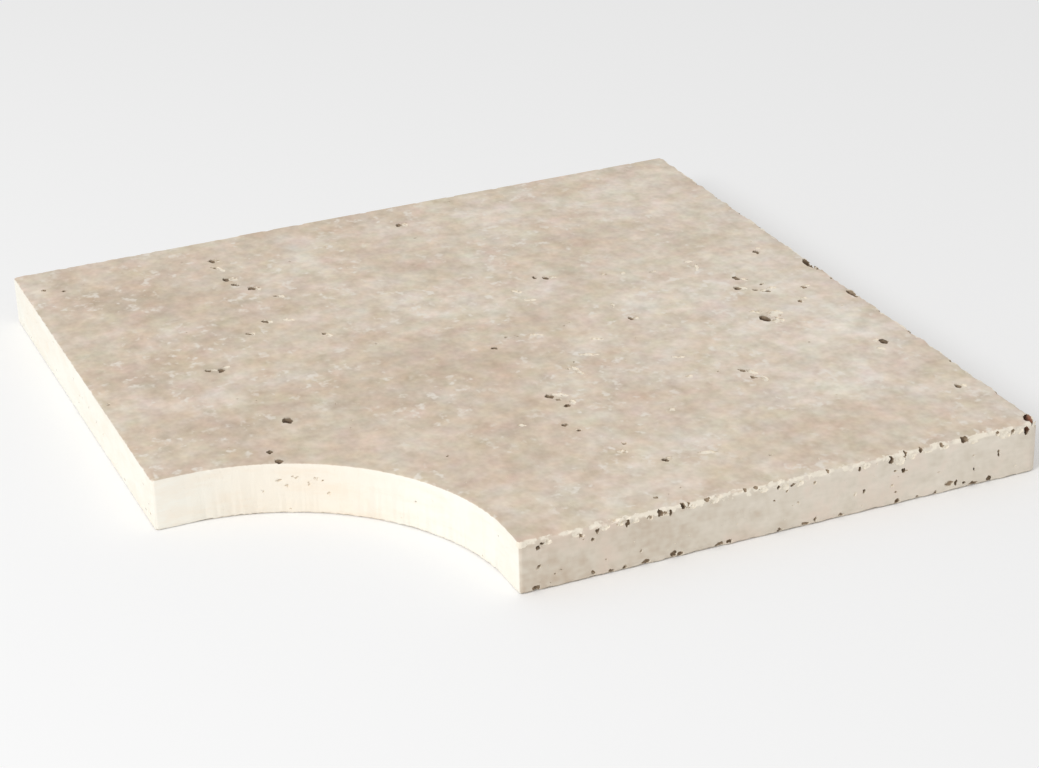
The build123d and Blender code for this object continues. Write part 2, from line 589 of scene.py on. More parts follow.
@dataclass
class Chips:
    """The chips along the arrises, each a shallow scoop.  Sizes are in mm, and the tilt in degrees."""

    plan: Plan
    seed: int = 3
    rows: int = 3
    rough: float = 2.6
    across: Span = (5.0, 9.0)
    length: Span = (6.0, 13.0)
    tilt: Span = (-20.0, 20.0)
    end_gap: float = 3.0
    notch_gap: float = 4.0
    corner_gap: float = 8.0

    def cut(self, stone: Piece) -> None:
        """Cut the chips, neighbours one after the other."""
        chips = self.along_arrises()
        for row in range(self.rows):
            stances = [chip.stance(self.plan) for chip in chips[row::self.rows]]
            Bench.cut(stone, Bench.balls(stances, rough=self.rough, grain=self.rough))

    def along_arrises(self) -> List[Void]:
        """Strew chips along the tumbled arrises, and a few along the sawn ones.

        Returns:
            The chips, in order along each arris.
        """
        low, high = self.plan.low, self.plan.high
        dice = random.Random(self.seed)
        gap = self.end_gap
        inner = low.x + self.plan.reach
        runs = {
            Face.FRONT: ((inner + self.notch_gap, low.y), (high.x - self.corner_gap, low.y)),
            Face.RIGHT: ((high.x, low.y + self.corner_gap), (high.x, high.y - gap)),
            Face.BACK: ((low.x + gap, high.y), (high.x - gap, high.y)),
            Face.LEFT: ((low.x, inner + gap), (low.x, high.y - gap)),
        }
        arrises = (
            (Face.TOP, Face.FRONT, 7.0, (0.5, 1.9)), (Face.TOP, Face.RIGHT, 9.0, (0.4, 2.0)),
            (Face.BED, Face.FRONT, 13.0, (0.2, 1.1)), (Face.BED, Face.RIGHT, 11.0, (0.3, 1.5)),
            (Face.TOP, Face.BACK, 34.0, (0.3, 0.9)), (Face.TOP, Face.LEFT, 24.0, (0.3, 1.0)),
            (Face.BED, Face.BACK, 26.0, (0.4, 1.2)), (Face.BED, Face.LEFT, 20.0, (0.4, 1.2)),
        )
        chips = []
        for level, side, pace, bites in arrises:
            start, end = runs[side]
            height = high.z if level is Face.TOP else low.z
            run = Vector((end[0] - start[0], end[1] - start[1], 0))
            steps = int(run.length / pace)
            for step in range(steps):
                place = Vector((*start, height)) + run * ((step + dice.uniform(0.1, 0.9)) / steps)
                chips.append(self.chip(dice, (level, side), place, dice.uniform(*bites)))
        return chips

    def chip(self, dice: random.Random, faces: Tuple[Face, ...], place: Vector, bite: float) -> Void:
        """Return one chip that bites so far into its arris, its ball mostly outside the stone."""
        across = dice.uniform(*self.across)
        length = dice.uniform(*self.length)
        outside = across - bite
        mouth = place - self.plan.inward(faces, place) * (outside / 2)
        depth = across / 2 + outside / 2 - (across / 2 - bite)
        return Void(mouth, faces, length, across, depth, dice.uniform(*self.tilt), 0.0)


@dataclass
class Voids:
    """Every hole of the stone: the ones it is known by, and small ones strewn between them.

    A row of the tables is a place along and across its face, then length, width and depth in mm, then
    how it runs in degrees where it isn't level.  The pans have one depth, and the voids of an arris all
    open at its height, so their rows leave these out.  Strewn voids keep in from the edge of their face,
    and the smallness makes the small ones commoner.
    """

    plan: Plan
    seed: int = 7
    grain: float = 1.8
    pan_depth: float = 0.7
    front_pan_depth: float = 0.8
    pan_gloom: float = 0.5
    front_size: float = 0.9
    front_gloom: float = 0.6
    edge: float = 5.0
    strewn_long: Span = (1.0, 1.9)
    strewn_deep: Span = (0.6, 1.0)
    strewn_turn: Span = (-35.0, 35.0)
    smallness: float = 2.2
    top_pans: Rows = (
        (167, -38, 10, 9.5, -119), (164, -47, 9, 8, -119), (158, -31, 7.5, 4.7, -27),
        (175, 15, 6.5, 4.4, -70), (168, 3.5, 6, 4.2, -60), (183, -4, 6, 3.9, 8), (177, -5, 4, 3.9, -27),
        (193, -26, 4, 3.1), (200, -97, 4, 4.4, -27), (197, -108, 5.5, 3.9, -46), (117, -102, 10, 4.4, -75),
        (119, -113, 8, 4.2, -95), (-103, 192, 5, 3.9, -50), (-105, 177, 11, 3.6, -76),
        (-103, 159, 6.5, 6.5, -18), (-102.5, 148, 5, 3.9, 30), (-94, 138, 7.5, 4.2, -85),
        (-85, 120, 6, 3.9, -80), (-103.5, 87, 4, 3.9), (-92.5, 85, 8, 3.6, -40), (-118, 75, 5, 3.6, -70),
        (-154, 37, 5, 4.2, -8), (-146, 38, 4, 4.2, 37), (-79, 54, 10, 3.6, -68), (9, -81, 10, 5.2, -50),
        (11.5, -92, 7, 3.6, -87), (45, -40, 13, 3.9, -27), (31, -57, 14, 3.6, -84), (59, -23, 8, 3.4, -27),
        (30, -2, 9, 3.4, -27), (10, -158, 6, 4.2, -27), (50, -179, 12, 3.6, -20), (83, -92, 5, 3.9),
        (23.5, 193, 5.5, 6.5), (157, 55, 6, 3.6, -27), (158, 45, 12, 3.4, -117), (29, -176, 4, 4.2),
        (212, -170, 3.6, 4.4), (92, -7, 4, 3.9), (73, 71, 4.6, 4.2), (47, 46, 8, 3.6, -27),
        (45, 61, 8, 3.6, -60), (89, -66, 8, 3.4, -27), (131, 51, 5, 3.9), (114, 57, 6, 3.9, 20),
        (88, 16, 7, 3.4, -104), (56, -125, 4, 3.9), (-25, -106, 5, 3.9), (103, 61, 4.6, 3.9),
        (205, 54, 3.6, 3.9), (204, -11, 3.6, 3.9),
    )
    front_pans: Rows = (
        (-63, 26.5, 5, 3.4), (-47, 27.2, 6, 3), (-32, 27.2, 5, 3.2), (-15, 27.2, 5, 3.6), (-23, 27.6, 4, 3),
        (3, 27.6, 4, 4), (17, 28, 6, 3.6), (30, 27.8, 5, 3.4), (58, 27.6, 7, 3.4), (71, 26.4, 4.6, 4),
        (79, 26.6, 5, 4), (118, 27.4, 7, 3.2), (139, 26.2, 6.6, 6.6), (146, 27, 5, 4.4), (156, 28, 6, 3.6),
        (166, 28, 5, 3.4), (183.5, 27.4, 8, 4.6), (203, 26.6, 7, 5), (212, 27, 5, 4),
    )
    top: Rows = (
        (158.5, -41.5, 6.6, 10.4, 5.2), (171.5, 19, 4.6, 6.6, 3.2), (165, 5, 4.8, 6.4, 3.4),
        (173, -2, 4, 2.6, 2, -30), (179, -7, 5, 3.4, 2.6, -30), (181, 4, 3.4, 2.4, 1.4, 20),
        (201.6, 49.5, 3.4, 6.2, 3.4), (201, -12, 3.8, 4.6, 1.6), (189, -29, 3.6, 4.2, 1.4, 10),
        (203, -100, 5.4, 8, 4.2, -10), (209, -169, 3.8, 6, 3.4), (89, -6, 3.4, 5.2, 3),
        (1, -8, 4.6, 4, 2.6, -30), (13, 3, 3.2, 2.2, 1.4), (19, 2, 2.8, 2, 1.2), (63, 76, 3.2, 4.8, 3),
        (69, 72, 3.8, 5.2, 3.2, 20), (20, 194, 4.2, 6, 3, -20), (-106, 192, 6.4, 4.4, 3, -85),
        (-108, 181, 5, 2.6, 1.8, -60), (-107, 160, 6.6, 4.6, 3.6, -75), (-105, 150, 4.4, 4.2, 2.6, -20),
        (-97, 140, 4.8, 6.6, 3.6), (-88, 122, 3.2, 2.6, 1.8, -30), (-106, 89, 4.2, 4.6, 3.2),
        (-120, 76, 4, 4, 2.4, 10), (-80, 57, 3.4, 2.2, 1.6, -40), (-150, 35, 4.6, 6, 3.2),
        (-157, 38, 4.6, 4, 2.6, -40), (-137, -43, 6.4, 8.4, 4.6), (3, -80, 5, 6.6, 3.6, 20),
        (6, -86, 3.6, 2.8, 1.4), (7, -95, 4.4, 4.4, 2.6, -30), (-4, -116, 4.4, 4.2, 2.4, -50),
        (0, -125, 4.2, 2.8, 1.8, -30), (113, -98, 5.4, 3.2, 2.4, -60), (115, -109, 5.4, 3.2, 2.2, -62),
        (26, -177, 4.4, 5, 3.4), (-158, -75, 4.6, 4.8, 3.2), (-157, -87, 4.8, 5.2, 3.4, 10),
        (-213, 196, 3.6, 2.8, 1.6), (-202, 189, 3.2, 2.6, 1.6, 30), (27, -52, 3, 2.2, 1.4),
        (15, -150, 3.2, 2.4, 1.4), (3, -212, 3.4, 2.6, 1.4, 20), (-220, 21, 3, 2.6, 1.8),
        (221.8, 18.5, 17, 6.6, 4.8, 88), (222.2, -33, 14, 5.2, 3.2, 91), (223.2, 9.5, 6, 3.6, 2.4, 90),
        (222.8, -7, 4, 3, 1.4, 90),
    )
    front: Rows = (
        (-68.6, 24.7, 3.4, 3.4, 2.8), (-66.4, 26.6, 3, 2.8, 2.2), (-44.5, 25.6, 3.8, 2.6, 1.4),
        (-38.5, 21.9, 2.6, 2.4, 1.8), (-35.7, 26.3, 3, 3.6, 2.4), (-25, 27, 2.6, 1.8, 1.2),
        (-19.1, 26.3, 3.4, 4.4, 3.4), (-6.8, 26.8, 3.8, 2.6, 1.6), (-0.6, 27.6, 3.6, 4.8, 3.6, 10),
        (5, 26.8, 2.6, 3.6, 3), (66.8, 26.5, 2.6, 3, 2.2), (75, 26.3, 4.2, 2.8, 1.6),
        (88, 24.4, 2.4, 1.8, 1), (114.5, 26.5, 2.8, 3.2, 2.4), (133.6, 26.5, 4, 4.8, 4.2, -20),
        (141.2, 19.1, 3.4, 3.6, 3), (136, 20, 2.2, 2, 1), (198.3, 27.6, 2.8, 2.8, 1.8),
        (208, 26.8, 3, 3.4, 2), (-68.3, 13.8, 2.6, 3, 2.2), (117.4, 12.3, 2.4, 3.2, 2.4),
        (112, 12.4, 2, 2.4, 1.2), (199.6, 16.3, 2.2, 4, 2.8), (184.5, 10.2, 2, 3, 1.8, 20),
        (-12, 9, 2.4, 2.2, 1.4), (134, 12, 2, 1.8, 0.9), (78, 15, 2, 1.8, 0.8), (169.4, 4.8, 6.4, 4, 1.5),
        (173.8, 4.8, 2, 5.4, 3.2), (-69.8, 1.7, 5.6, 4.2, 2.8), (-38.3, 2.6, 3.2, 3.4, 1.8),
        (-28.3, 1.5, 3.8, 3.2, 1.8), (-21, 1.7, 3.4, 3, 1.6), (-9.2, 1.9, 5.4, 3.8, 2.6),
        (6.6, 2.2, 4.6, 4.2, 3, 20), (10.2, 1.6, 4.4, 3.2, 2.4), (33, 1.6, 5.4, 3.4, 2.2),
        (38.5, 2.2, 3.8, 3.4, 2), (68, 1.5, 3.8, 3, 1.6), (83, 1.4, 6, 3, 1.8), (88.5, 2.6, 2.6, 3.4, 2.2),
        (104, 1.6, 5, 3, 1.8), (137.7, 2.1, 3.6, 4, 2.8), (151, 1.4, 3.2, 2.8, 1.8),
        (160.9, 1.4, 4, 3, 2.2), (178.5, 3.4, 2.4, 2.8, 2), (184.4, 1.6, 5.6, 3.4, 2.4),
        (194.3, 2.2, 4.6, 4, 3),
    )
    front_arris: Rows = (
        (12.3, 3.6, 4.2, 3.8), (15.5, 3, 3.2, 2.8), (26, 4.4, 3.2, 2.4), (48, 3.8, 3, 2.2),
        (54, 3.2, 2.8, 2.2), (142, 2.4, 4, 3.2), (151.6, 2.2, 4.2, 3.4), (178, 4.6, 5, 4.4),
        (164, 2.6, 3, 2.4), (96, 3.4, 3, 2.2),
    )
    right_arris: Rows = (
        (-62, 4.4, 3.6, 3.2), (-96, 5, 3.8, 3.4), (60, 4.6, 3.6, 3.2), (-140, 5, 4.4, 4),
        (110, 4.6, 4, 3.6), (170, 5.4, 4.2, 4), (-186, 4.4, 4, 3.6), (142, 4, 3.6, 3.2), (84, 3.6, 3.6, 3),
    )
    pool: Rows = (
        (58, 21, 2.8, 2.2, 0.45), (60, 18, 2.4, 2, 0.45), (63, 22, 3.6, 2, 0.5), (65, 17, 2.6, 2.2, 0.45),
        (67, 20, 3.2, 1.8, 0.5), (71, 14, 2.4, 2, 0.4), (55, 13, 2.4, 1.8, 0.4),
    )

    def cut(self, stone: Piece) -> List[Void]:
        """Cut the shallow pans, the known voids and the strewn ones, and return them all."""
        done: List[Void] = []
        kinds = ((self.highlight_pans(), 2.0, 3), (self.known(), 2.6, 3), (self.strewn(), 1.2, 2))
        for voids, rough, fineness in kinds:
            stances = [void.stance(self.plan) for void in voids]
            Bench.cut(stone, Bench.balls(stances, rough, self.grain, fineness))
            done += voids
        return done

    def opened(self, faces: Tuple[Face, ...], rows: Iterable[Sequence[float]], size: float = 1.0,
               gloom: float = 1.0) -> List[Void]:
        """Turn rows into voids.

        Args:
            faces: the faces that they open on, the one that they are placed on first.
            rows: place along, place across, length, width, depth and, where it isn't 0, heading.
            size: share of the length and width that is cut.
            gloom: how dark their painted shade gets.

        Returns:
            The voids, in the rows' order.
        """
        return [Void(self.plan.mouth(faces[0], along, across), faces, long * size, wide * size, deep, *turn,
                     gloom=gloom)
                for along, across, long, wide, deep, *turn in rows]

    def highlight_pans(self) -> List[Void]:
        """Return the shallow pans beside the voids of the top and along the front's upper arris, which the
        finish colours cream as painted highlight.
        """
        top = [(x, y, long, wide, self.pan_depth, *turn) for x, y, long, wide, *turn in self.top_pans]
        front = [(*row, self.front_pan_depth) for row in self.front_pans]
        return (self.opened((Face.TOP,), top, gloom=self.pan_gloom)
                + self.opened((Face.FRONT,), front, gloom=self.pan_gloom))

    def known(self) -> List[Void]:
        """Return the voids that the stone is known by, those of the broken corner among them."""
        high = self.plan.high.z
        front_arris = [(x, high, *sizes) for x, *sizes in self.front_arris]
        right_arris = [(y, high, *sizes) for y, *sizes in self.right_arris]
        voids = self.opened((Face.TOP,), self.top)
        voids += self.opened((Face.FRONT,), self.front, self.front_size, self.front_gloom)
        voids += self.opened((Face.FRONT, Face.TOP), front_arris, self.front_size, self.front_gloom)
        voids += self.opened((Face.RIGHT, Face.TOP), right_arris)
        corner = (Face.RIGHT, Face.FRONT, Face.TOP)
        voids += [Void(Vector((222.4, -220.0, 28.8)), corner, 11.0, 8.0, 5.4, 10),
                  Void(Vector((216.4, -224.6, 25.6)), (Face.FRONT,), 4.0, 5.6, 3.8),
                  Void(Vector((224.2, -216.0, 27.8)), (Face.RIGHT, Face.TOP), 6.4, 3.6, 3.0)]
        return voids + self.opened((Face.POOL,), self.pool)

    def strewn(self) -> List[Void]:
        """Strew small voids over the faces, more of them on the tumbled ones.

        Returns:
            Voids that keep clear of each other.
        """
        dice = random.Random(self.seed)
        voids: List[Void] = []
        groups = (
            (Face.TOP, 60, 0.9, 1.8), (Face.FRONT, 26, 0.8, 1.4), (Face.RIGHT, 120, 0.9, 3.0),
            (Face.BACK, 40, 0.9, 2.2), (Face.LEFT, 20, 0.9, 1.6), (Face.POOL, 8, 0.8, 1.3),
            (Face.BED, 90, 1.0, 3.6),
        )
        for face, count, small, large in groups:
            for _ in range(count):
                place = self.spot(face, dice.random(), dice.random())
                size = small + (large - small) * dice.random() ** self.smallness
                long, deep = size * dice.uniform(*self.strewn_long), size * dice.uniform(*self.strewn_deep)
                turn = dice.uniform(*self.strewn_turn)
                if place is None or any((void.place - place).length < size + void.length for void in voids):
                    continue
                voids.append(Void(place, (face,), long, size, deep, turn))
        return voids

    def spot(self, face: Face, along: float, rise: float) -> Optional[Vector]:
        """Pick a place on one face.

        Args:
            face: the face.
            along: share of the way along the face.
            rise: share of the way up or across it.

        Returns:
            The place in mm, or None where the pool corner is cut away.
        """
        plan = self.plan
        span = plan.high - plan.low
        edge = self.edge
        height = plan.low.z + edge / 2 + (span.z - edge) * rise
        inner = plan.reach + edge
        if face in (Face.TOP, Face.BED):
            place = plan.mouth(face, plan.low.x + edge + (span.x - 2 * edge) * along,
                               plan.low.y + edge + (span.y - 2 * edge) * rise)
            depth = plan.drops_at(np.array([place]))[Face.POOL][0]
            return place if depth > edge / 2 else None
        if face is Face.FRONT:
            return plan.mouth(face, plan.low.x + inner + (span.x - inner - 2 * edge) * along, height)
        if face is Face.LEFT:
            return plan.mouth(face, plan.low.y + inner + (span.y - inner - edge) * along, height)
        if face is Face.POOL:
            return plan.mouth(face, 90 * along, height)
        return plan.mouth(face, plan.low.y + 2 * edge + (span.y - 3 * edge) * along, height)


class Field:
    """One shader value, which takes part in sums and products as a number does."""

    def __init__(self, finish: "Finish", socket: Optional[bpy.types.NodeSocket]) -> None:
        """Wrap a socket of a finish."""
        self.finish = finish
        self.socket = socket

    def _math(self, operation: str, *values: "Value") -> "Field":
        """Add a Math node."""
        return self.finish.node("ShaderNodeMath", {"operation": operation}, dict(enumerate(values)))

    def __add__(self, other: "Value") -> "Field":
        """Return the sum."""
        return self._math("ADD", self, other)

    __radd__ = __add__

    def __sub__(self, other: "Value") -> "Field":
        """Return the difference."""
        return self._math("SUBTRACT", self, other)

    def __rsub__(self, other: "Value") -> "Field":
        """Return the reflected difference."""
        return self._math("SUBTRACT", other, self)

    def __mul__(self, other: "Value") -> "Field":
        """Return the product."""
        return self._math("MULTIPLY", self, other)

    __rmul__ = __mul__

    def power(self, exponent: "Value") -> "Field":
        """Return this value raised to a power."""
        return self._math("POWER", self, exponent)

    def least(self, other: "Value") -> "Field":
        """Return the smaller of two values."""
        return self._math("MINIMUM", self, other)

    def most(self, other: "Value") -> "Field":
        """Return the larger of two values."""
        return self._math("MAXIMUM", self, other)

    def rise(self, low: float, high: float) -> "Field":
        """Rise smoothly from 0 at low to 1 at high, or fall where high is the lower."""
        return self.finish.node("ShaderNodeMapRange", {"interpolation_type": "SMOOTHSTEP"},
                                {"Value": self, "From Min": low, "From Max": high})


Value = Union[Field, float, int, Sequence[float]]


@dataclass(frozen=True)
class Grain:
    """A noise: its longest waves in mm, its finer octaves, each one's share of the last, and what it spans.

    It rises from 0 at low to 1 at high, or falls where high is the lower, when it is used as a mask.
    """

    wave: float
    octaves: float = 3.0
    roughness: float = 0.6
    low: float = 0.0
    high: float = 1.0


class Finish:
    """A material under construction."""

    def __init__(self, name: str) -> None:
        """Start an empty material."""
        self.material = bpy.data.materials.new(name)
        self.material.use_nodes = True
        self.tree = self.material.node_tree
        self.tree.nodes.clear()

    def node(self, kind: str, settings: Dict[str, Any], sockets: Dict[Union[str, int], Value],
             output: Union[str, int] = 0) -> Field:
        """Add one node.

        Args:
            kind: the node's type.
            settings: its settings, which are made first.
            sockets: values or links for its sockets, by name or number.
            output: the socket that it gives.

        Returns:
            The node's output.
        """
        node = self.tree.nodes.new(kind)
        for name, value in settings.items():
            setattr(node, name, value)
        for name, value in sockets.items():
            socket = node.inputs[name]
            if isinstance(value, Field):
                self.tree.links.new(value.socket, socket)
            elif socket.type == "RGBA" and len(value) == 3:
                socket.default_value = (*value, 1.0)
            else:
                socket.default_value = value
        return Field(self, node.outputs[output] if node.outputs else None)

    def blend(self, share: Value, first: Value, second: Value) -> Field:
        """Mix two colours.

        Args:
            share: how much of the second, held between 0 and 1.
            first: the first colour.
            second: the second colour.

        Returns:
            The mixed colour.
        """
        settings = {"data_type": "RGBA", "clamp_factor": True}
        return self.node("ShaderNodeMix", settings, {0: share, 6: first, 7: second}, 2)

    def vector(self, operation: str, sockets: Dict[Union[str, int], Value],
               output: Union[str, int] = 0) -> Field:
        """Add a Vector Math node."""
        return self.node("ShaderNodeVectorMath", {"operation": operation}, sockets, output)

    def stretch(self, spot: Field, shares: Sequence[float]) -> Field:
        """Scale a place along each axis."""
        return self.vector("MULTIPLY", {0: spot, 1: shares})

    def place(self, spot: Field, centre: Sequence[float], turn: float, size: Sequence[float]) -> Field:
        """Centre, turn and size a pattern on the piece.

        Args:
            spot: the place to start from.
            centre: where the pattern's middle lies.
            turn: how far it is turned about Z, in degrees.
            size: its half sizes.

        Returns:
            The place in the pattern's own measure.
        """
        sockets = {"Vector": spot, "Location": centre, "Rotation": (0, 0, math.radians(turn)), "Scale": size}
        return self.node("ShaderNodeMapping", {"vector_type": "TEXTURE"}, sockets)

    def noise(self, spot: Field, grain: Grain, output: str = "Fac") -> Field:
        """Return fractal noise about 0.5.

        Args:
            spot: the place.
            grain: the noise's waves and octaves.
            output: Fac for a number, Color for three.

        Returns:
            The noise.
        """
        sockets = {"Vector": spot, "Scale": 1 / grain.wave, "Detail": grain.octaves,
                   "Roughness": grain.roughness}
        return self.node("ShaderNodeTexNoise", {"noise_dimensions": "3D"}, sockets, output)

    def mask(self, spot: Field, grain: Grain) -> Field:
        """Return a noise as a mask from 0 to 1."""
        return self.noise(spot, grain).rise(grain.low, grain.high)

    def cells(self, spot: Field, wave: float) -> Field:
        """Return the distance to the nearest of many strewn points, as a share of their spacing."""
        sockets = {"Vector": spot, "Scale": 1 / wave}
        return self.node("ShaderNodeTexVoronoi", {"feature": "F1"}, sockets, "Distance")

    def close(self, shader: Field) -> bpy.types.Material:
        """Link the surface and return the material."""
        self.node("ShaderNodeOutputMaterial", {}, {"Surface": shader})
        return self.material


@dataclass(frozen=True)
class Patch:
    """A darker or lighter patch: its middle, half length, half width, run in degrees and tone."""

    x: float
    y: float
    long: float
    wide: float
    turn: float
    tone: float


@dataclass(frozen=True)
class Travertine:
    """The stone's one finish: soft clouds and flecks, near-white sawn faces that are partly painted
    highlight, cream along the worn arrises, painted highlight in the pans and painted shade in the voids.

    A span says between which depths, in mm, or values of a noise, something grows, or fades where the
    first is the higher.
    """

    plan: Plan
    dark: Colour = linear(190, 168, 145)
    body: Colour = linear(216, 200, 180)
    light: Colour = linear(240, 232, 219)
    fleck: Colour = linear(237, 230, 219)
    rosy: Colour = linear(224, 201, 184)
    side: Colour = linear(219, 209, 193)
    # sawn: near-white, partly the sawn stone's own pale cream and partly painted highlight
    sawn: Colour = linear(248, 246, 236)
    peach: Colour = linear(245, 231, 212)
    # cream: the colour of the worn arrises, and painted highlight in the pans
    cream_and_highlight: Colour = linear(244, 235, 218)
    # hollow and deep: painted shade in the voids, darker with depth; rusty is the stain of the broken corner
    hollow_shade: Colour = linear(163, 144, 122)
    rusty: Colour = linear(150, 98, 76)
    deep: Colour = linear(104, 86, 69)
    patches: Tuple[Patch, ...] = (
        Patch(-20, -25, 110, 28, -10, -0.40), Patch(-160, 150, 36, 45, 0, -0.50),
        Patch(110, 105, 60, 30, 15, -0.20), Patch(45, -100, 45, 30, -10, -0.25),
        Patch(150, -190, 60, 24, 0, -0.30), Patch(-155, -30, 60, 24, 0, -0.50),
        Patch(-110, 100, 34, 12, 10, -0.20), Patch(30, 175, 70, 35, 0, 0.40),
        Patch(175, 150, 40, 50, 0, 0.45), Patch(-30, 85, 36, 45, 0, 0.25), Patch(-195, 10, 24, 22, 0, 0.50),
        Patch(52, -30, 20, 14, 30, 0.45), Patch(200, -75, 24, 40, 0, 0.40), Patch(-45, -190, 36, 28, 0, 0.35),
        Patch(-95, 75, 30, 18, -40, 0.25), Patch(-180, 115, 16, 9, 0, 0.30),
        Patch(165, -140, 30, 20, 30, 0.45), Patch(55, 55, 26, 22, 40, 0.40),
        Patch(-185, 60, 34, 30, 0, -0.50), Patch(-60, -60, 40, 24, 0, -0.20),
        Patch(60, -55, 30, 14, -10, -0.30), Patch(185, 0, 130, 300, 0, 0.35),
        Patch(-200, 60, 110, 220, 0, -0.12),
    )
    front_patches: Tuple[Patch, ...] = (
        Patch(165, -225, 110, 30, 0, 0.45), Patch(-60, -225, 50, 30, 0, -0.15),
    )
    specular: float = 0.3
    roughness: float = 0.6
    void_roughness: float = 0.25
    side_roughness: float = 0.15

    # The honed top
    patch_height: float = 60.0
    patch_edge: Span = (1.35, 0.1)
    patch_share: float = 0.7
    cloud: Grain = Grain(60.0, 2.0, 1.0)
    cloud_gain: float = 2.0
    sway: Grain = Grain(28.0)
    sway_reach: float = 14.0
    tint: Grain = Grain(24.0, 2.0, 0.9)
    tint_shift: Triple = (0.0, 0.0, 400.0)
    tint_gain: Triple = (0.25, 0.09, 0.25)
    tint_base: Triple = (0.875, 0.952, 0.875)
    drawn: Triple = (1.0, 0.85, 1.0)
    shade: Grain = Grain(9.0, 1.8, 0.97)
    shade_gain: Triple = (0.52, 0.60, 0.68)
    flecks: Grain = Grain(5.5, 2.0, 0.5, 0.55, 0.73)
    crowd: Grain = Grain(45.0, 3.0, 0.6, 0.38, 0.60)
    fleck_share: float = 0.75

    # The tumbled faces
    side_in: Span = (2.0, 0.9)
    side_down: Span = (0.4, 1.4)
    side_drawn: Triple = (0.35, 0.35, 1.0)
    side_layers: Grain = Grain(14.0, 3.0, 0.9)
    side_layer_gain: float = 1.4
    side_cloud: Grain = Grain(26.0, 3.0, 1.0)
    side_cloud_gain: float = 2.2
    blush: Grain = Grain(26.0, 3.0, 0.6, 0.5, 0.7)
    blush_share: float = 0.5

    # The sawn faces, whose near-white cream is partly their own colour and partly painted highlight
    sawn_in: Span = (1.2, 0.5)
    sawn_down: Span = (0.25, 0.7)
    sawn_from_side: Span = (0.6, 1.6)
    sawn_drawn: Triple = (0.3, 0.3, 1.2)
    sawn_layers: Grain = Grain(14.0, 5.0, 0.7, 0.45, 0.65)
    sawn_cloud: Grain = Grain(60.0, 4.0, 0.7, 0.45, 0.65)
    sawn_share: float = 0.3
    peach_middle: Triple = (-150.0, -95.0, 15.0)
    peach_span: Span = (80.0, 20.0)
    peach_share: float = 0.5

    # The cream along the worn arrises: a band that hangs over the side and creeps over the top, and chips
    hangs: Grain = Grain(8.0, 3.0, 0.7, 0.44, 0.66)
    least_hang: float = 0.6
    more_hang: float = 3.6
    creeps: Grain = Grain(10.0, 3.0, 0.7, 0.46, 0.66)
    least_creep: float = 1.0
    more_creep: float = 2.6
    band_down: Span = (0.4, -0.2)
    band_in: Span = (0.3, -0.3)
    chip_bite: Span = (0.25, 0.7)
    chip_down: Span = (4.0, 2.8)
    chip_in: Span = (3.6, 2.6)
    ragged: Grain = Grain(9.0, 3.0, 0.7, 0.38, 0.50)
    worn_share: float = 0.9

    # Painted shade in the voids, and painted highlight in the pans
    pan_starts: Span = (0.03, 0.14)
    pan_ends: Span = (0.8, 0.4)
    pan_from_sawn: Span = (0.4, 1.2)
    pan_highlight_share: float = 0.85
    hollow_shade_span: Span = (0.4, 0.9)
    deep_shade_span: Span = (1.2, 3.0)
    stain_in: Span = (7.0, 6.0)
    stain_span: Span = (8.5, 5.0)
    stain_share: float = 0.6

    # Bump
    waves: Grain = Grain(6.0)
    pores: Grain = Grain(0.9, 3.0, 0.7)
    pinholes: float = 2.0
    pinhole_span: Span = (0.10, 0.26)
    pinhole_free: Grain = Grain(12.0, 2.0, 0.6, 0.62, 0.5)
    wave_share: float = 0.45
    pore_share: float = 0.2
    pinhole_share: float = 0.35
    bump_strength: float = 0.6
    bump_height: float = 0.0005

    def dress(self, stone: Piece) -> None:
        """Make the material and give it to the stone."""
        stone.data.materials.clear()
        stone.data.materials.append(self.make(Finish("travertine")))

    def make(self, finish: Finish) -> bpy.types.Material:
        """Build the whole material.

        Args:
            finish: an empty material.

        Returns:
            The finished material.
        """
        here = finish.node("ShaderNodeTexCoord", {}, {}, "Object")
        spot = finish.vector("SCALE", {0: here, "Scale": 1 / MM})
        drops = self.drops(finish, spot)
        depth = finish.node("ShaderNodeAttribute", {"attribute_name": "void_depth"}, {}, "Fac")
        side = drops[Face.FRONT].least(drops[Face.RIGHT])
        sawn = drops[Face.LEFT].least(drops[Face.BACK]).least(drops[Face.POOL])
        below = drops[Face.TOP]
        on_side = side.rise(*self.side_in) * below.rise(*self.side_down)
        colour = finish.blend(on_side, self.top_colour(finish, spot), self.side_colour(finish, spot))
        on_sawn = sawn.rise(*self.sawn_in) * below.rise(*self.sawn_down) * side.rise(*self.sawn_from_side)
        # Sawn faces: pale cream that is partly painted highlight.
        colour = finish.blend(on_sawn, colour, self.sawn_and_highlight_colour(finish, spot))
        colour = finish.blend(self.worn(finish, spot, side, below), colour, self.cream_and_highlight)
        # Painted highlight: the pans beside the voids are coloured cream as if their walls were lit.
        highlight_pans = depth.rise(*self.pan_starts) * depth.rise(*self.pan_ends) * sawn.rise(*self.pan_from_sawn)
        colour = finish.blend(highlight_pans * self.pan_highlight_share, colour, self.cream_and_highlight)
        rough = (self.roughness + self.void_roughness * depth.rise(0.1, 0.8)
                 + self.side_roughness * side.rise(2.0, 0.5))
        shader = finish.node("ShaderNodeBsdfPrincipled", {}, {
            "Base Color": self.shade_hollows(finish, spot, depth, colour), "Roughness": rough,
            "Specular IOR Level": self.specular, "Normal": self.relief(finish, spot)})
        return finish.close(shader)

